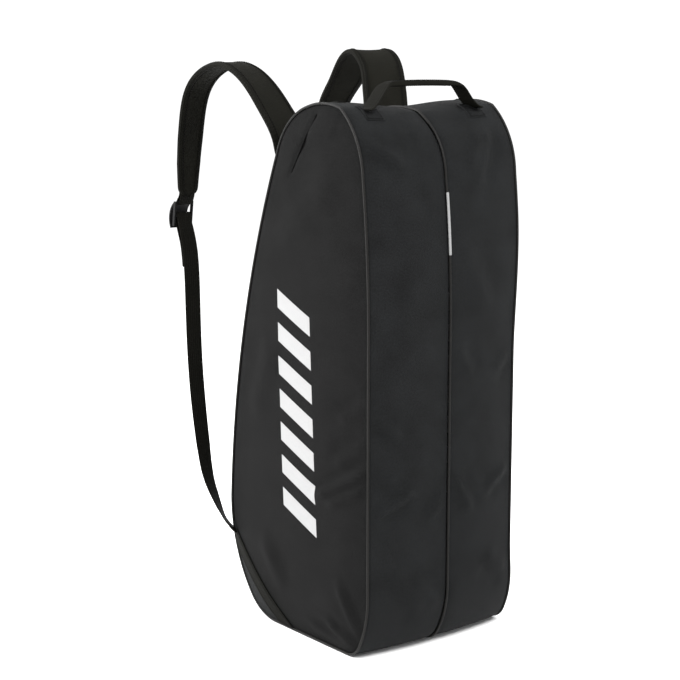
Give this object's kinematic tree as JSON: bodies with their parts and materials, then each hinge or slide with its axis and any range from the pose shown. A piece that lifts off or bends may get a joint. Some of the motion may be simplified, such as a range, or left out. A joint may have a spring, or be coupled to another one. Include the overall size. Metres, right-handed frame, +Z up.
{
  "type": "racket tournament bag",
  "caption": "Tall racket bag standing on a flat base, with piped side panels, zipped side openings, a grab handle and padded shoulder straps with ladder locks.",
  "frame": {"origin": "middle of the flat part of the base, on the surface the bag stands on", "axes": "+Z up along the bag's height, -Y out of the front gusset, the side panels face -X and +X"},
  "size_m": [0.301, 0.4613, 0.8196],
  "materials": {
    "side_cloth": "matt woven charcoal polyester",
    "gusset_cloth": "matt woven near-black polyester",
    "lining_foam": "foam with a thin lining",
    "base_board": "ribless stiff sheet",
    "piping": "grey covered cord",
    "reflective": "reflective silver tape",
    "heel_cloth": "heavy black cloth",
    "zip_tape": "woven tape",
    "zip_coil": "moulded coil",
    "zip_metal": "black enamelled die casting",
    "webbing": "ribbed webbing",
    "pad_cloth": "padded mesh cloth",
    "buckle": "smooth grey moulding"
  },
  "bodies": {
    "bag": {"base_board": "base_board", "centre_divider": "lining_foam", "centre_piping": "piping", "reflective_strip": "reflective", "heel_patches": "heel_cloth", "zip_end_tabs": "webbing", "zip_low_stops": "webbing", "handle_patches": "webbing", "strap_foot_tabs": "webbing", "left_front_gusset": "gusset_cloth", "left_top_gusset": "gusset_cloth", "left_back_gusset": "gusset_cloth", "left_base_gusset": "gusset_cloth", "left_body_piping": "piping", "left_side_panel_low": "side_cloth", "left_side_panel_front": "side_cloth", "left_zip_tape_body": "zip_tape", "left_zip_coil_body": "zip_coil", "left_strap_root_patch": "webbing", "left_strap_root_tab": "pad_cloth", "right_front_gusset": "gusset_cloth", "right_top_gusset": "gusset_cloth", "right_back_gusset": "gusset_cloth", "right_base_gusset": "gusset_cloth", "right_body_piping": "piping", "right_side_panel_low": "side_cloth", "right_side_panel_front": "side_cloth", "right_zip_tape_body": "zip_tape", "right_zip_coil_body": "zip_coil", "right_strap_root_patch": "webbing", "right_strap_root_tab": "pad_cloth"},
    "grab_handle": {"handle_webbing": "webbing", "handle_grip": "pad_cloth"},
    "left_flap": {"left_flap_cloth": "side_cloth", "left_flap_foam": "lining_foam", "left_flap_gusset": "gusset_cloth", "left_flap_piping": "piping", "left_zip_tape_flap": "zip_tape", "left_zip_coil_flap": "zip_coil"},
    "left_slider": {"left_zip_slider": "zip_metal"},
    "left_puller": {"left_zip_puller": "zip_metal"},
    "left_strap": {"left_shoulder_pad": "pad_cloth", "left_pad_end_loop": "webbing", "left_strap_webbing": "webbing", "left_webbing_tail": "webbing"},
    "left_lock": {"left_ladder_lock": "buckle"},
    "right_flap": {"right_flap_cloth": "side_cloth", "right_flap_foam": "lining_foam", "right_flap_gusset": "gusset_cloth", "right_flap_piping": "piping", "right_zip_tape_flap": "zip_tape", "right_zip_coil_flap": "zip_coil"},
    "right_slider": {"right_zip_slider": "zip_metal"},
    "right_puller": {"right_zip_puller": "zip_metal"},
    "right_strap": {"right_shoulder_pad": "pad_cloth", "right_pad_end_loop": "webbing", "right_strap_webbing": "webbing", "right_webbing_tail": "webbing"},
    "right_lock": {"right_ladder_lock": "buckle"}
  },
  "joints": [
    {"name": "handle_fold", "type": "hinge", "parent": "bag", "child": "grab_handle", "pos_m": [0, -0.07623, 0.746], "axis": [1, 0, 0], "range_deg": [-25, 80]},
    {"name": "left_flap_open", "type": "hinge", "parent": "bag", "child": "left_flap", "pos_m": [-0.131, -0.12523, 0.19], "axis": [0, 0.173, 0.9849], "range_deg": [0, 26]},
    {"name": "left_zip_slide", "type": "hinge", "parent": "bag", "child": "left_slider", "pos_m": [-0.106, -1.28465, 0.08912], "axis": [1, 0, 0], "range_deg": [0, 16.4]},
    {"name": "left_puller_flip", "type": "hinge", "parent": "left_slider", "child": "left_puller", "pos_m": [-0.106, 0.19599, 0.20631], "axis": [1, 0, 0], "range_deg": [0, 165]},
    {"name": "left_strap_swing", "type": "hinge", "parent": "bag", "child": "left_strap", "pos_m": [-0.131, 0.18977, 0.114], "axis": [0.1548, -0.179, 0.9716], "range_deg": [-18, 14]},
    {"name": "left_lock_tilt", "type": "hinge", "parent": "left_strap", "child": "left_lock", "pos_m": [-0.131, 0.31477, 0.574], "axis": [1, 0, 0], "range_deg": [0, 35]},
    {"name": "right_flap_open", "type": "hinge", "parent": "bag", "child": "right_flap", "pos_m": [0.131, -0.12523, 0.19], "axis": [0, -0.173, -0.9849], "range_deg": [0, 26]},
    {"name": "right_zip_slide", "type": "hinge", "parent": "bag", "child": "right_slider", "pos_m": [0.106, -1.28465, 0.08912], "axis": [1, 0, 0], "range_deg": [0, 16.4]},
    {"name": "right_puller_flip", "type": "hinge", "parent": "right_slider", "child": "right_puller", "pos_m": [0.106, 0.19599, 0.20631], "axis": [1, 0, 0], "range_deg": [0, 165]},
    {"name": "right_strap_swing", "type": "hinge", "parent": "bag", "child": "right_strap", "pos_m": [0.131, 0.18977, 0.114], "axis": [0.1548, 0.179, -0.9716], "range_deg": [-18, 14]},
    {"name": "right_lock_tilt", "type": "hinge", "parent": "right_strap", "child": "right_lock", "pos_m": [0.131, 0.31477, 0.574], "axis": [1, 0, 0], "range_deg": [0, 35]}
  ]
}
